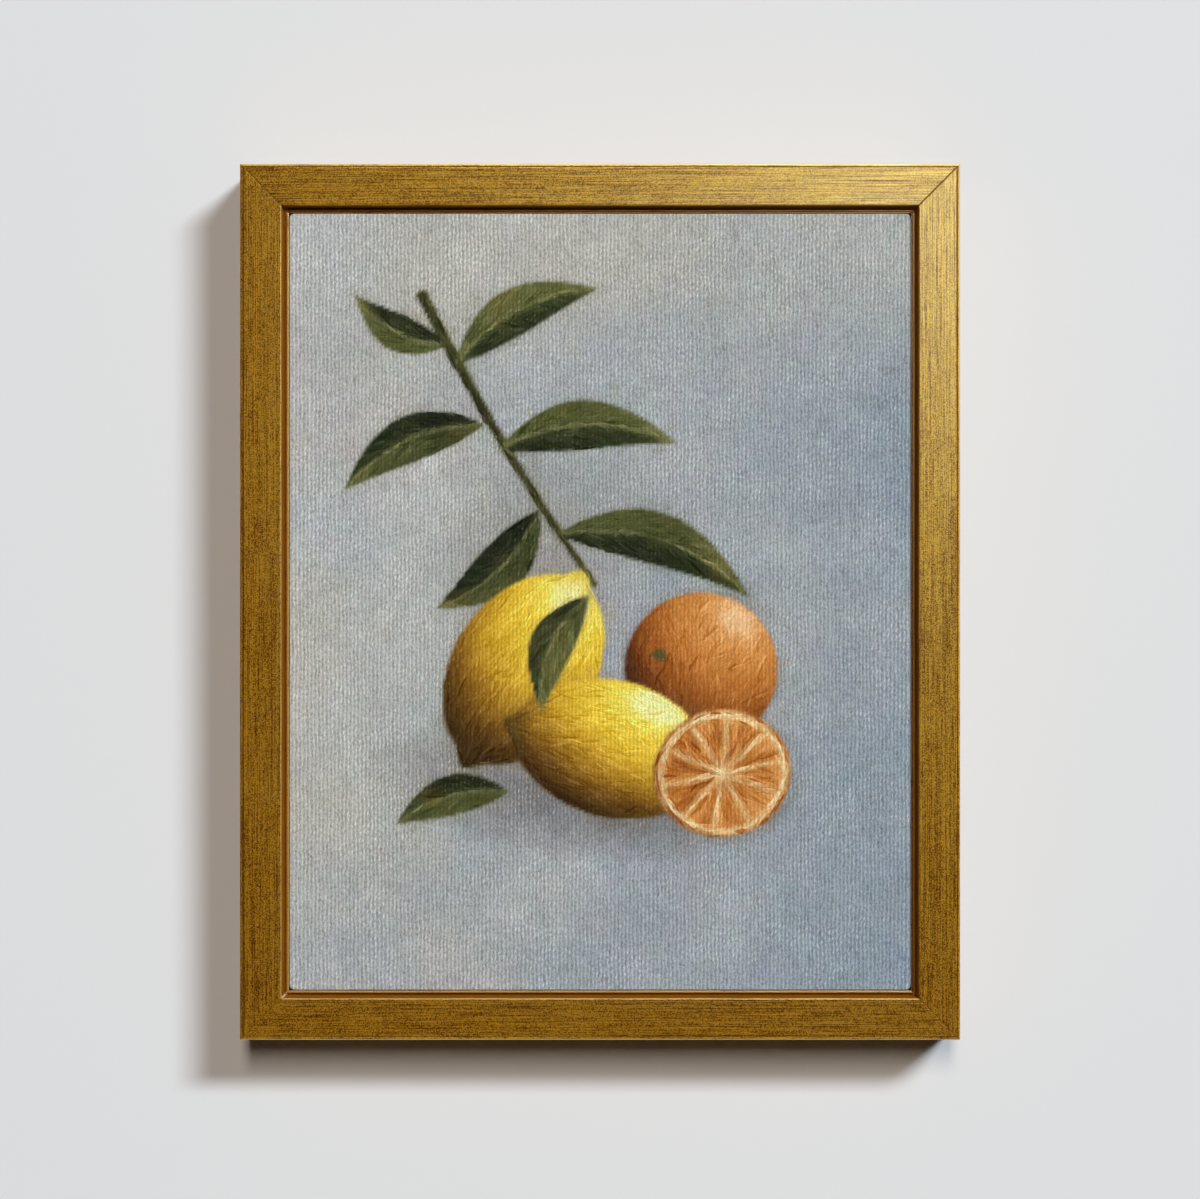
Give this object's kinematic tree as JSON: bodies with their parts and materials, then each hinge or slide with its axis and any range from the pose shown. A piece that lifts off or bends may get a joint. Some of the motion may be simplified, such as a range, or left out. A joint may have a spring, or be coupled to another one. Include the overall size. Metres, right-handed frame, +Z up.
{
  "type": "framed canvas painting",
  "caption": "Small painted canvas on wooden stretcher bars, screwed from behind into a gilded floater frame with a sawtooth hanger on its back.",
  "frame": {"origin": "the middle notch of the sawtooth hanger, where a wall nail carries the picture", "axes": "+X to the right seen from the front, +Y towards the wall, +Z up; the painted face looks along -Y"},
  "size_m": [0.235, 0.035, 0.2858],
  "materials": {
    "gilded_wood": "brushed antique gold leaf over dark bole, satin",
    "painted_canvas": "primed cotton canvas with blue-grey, yellow, orange and green oil paint",
    "bare_pine": "planed bare pine",
    "zinc_steel": "zinc plated",
    "hanger_steel": "brass plated stamped steel",
    "felt": "pressed felt"
  },
  "bodies": {
    "root": {"rail_bottom": "gilded_wood", "rail_right": "gilded_wood", "rail_top": "gilded_wood", "rail_left": "gilded_wood", "canvas": "painted_canvas", "stretcher_bar_bottom": "bare_pine", "stretcher_bar_right": "bare_pine", "stretcher_bar_top": "bare_pine", "stretcher_bar_left": "bare_pine", "screw_bottom_1": "zinc_steel", "screw_bottom_2": "zinc_steel", "screw_right_1": "zinc_steel", "screw_right_2": "zinc_steel", "screw_top_1": "zinc_steel", "screw_top_2": "zinc_steel", "screw_left_1": "zinc_steel", "screw_left_2": "zinc_steel", "staple_bottom_1": "zinc_steel", "staple_bottom_2": "zinc_steel", "staple_bottom_3": "zinc_steel", "staple_bottom_4": "zinc_steel", "staple_right_1": "zinc_steel", "staple_right_2": "zinc_steel", "staple_right_3": "zinc_steel", "staple_right_4": "zinc_steel", "staple_right_5": "zinc_steel", "staple_top_1": "zinc_steel", "staple_top_2": "zinc_steel", "staple_top_3": "zinc_steel", "staple_top_4": "zinc_steel", "staple_left_1": "zinc_steel", "staple_left_2": "zinc_steel", "staple_left_3": "zinc_steel", "staple_left_4": "zinc_steel", "staple_left_5": "zinc_steel", "corner_nail_bottom_left_1": "zinc_steel", "corner_nail_bottom_left_2": "zinc_steel", "corner_nail_bottom_right_1": "zinc_steel", "corner_nail_bottom_right_2": "zinc_steel", "corner_nail_top_left_1": "zinc_steel", "corner_nail_top_left_2": "zinc_steel", "corner_nail_top_right_1": "zinc_steel", "corner_nail_top_right_2": "zinc_steel", "sawtooth_hanger": "hanger_steel", "hanger_nail_left": "hanger_steel", "hanger_nail_right": "hanger_steel", "bumper_left": "felt", "bumper_right": "felt"}
  },
  "joints": []
}
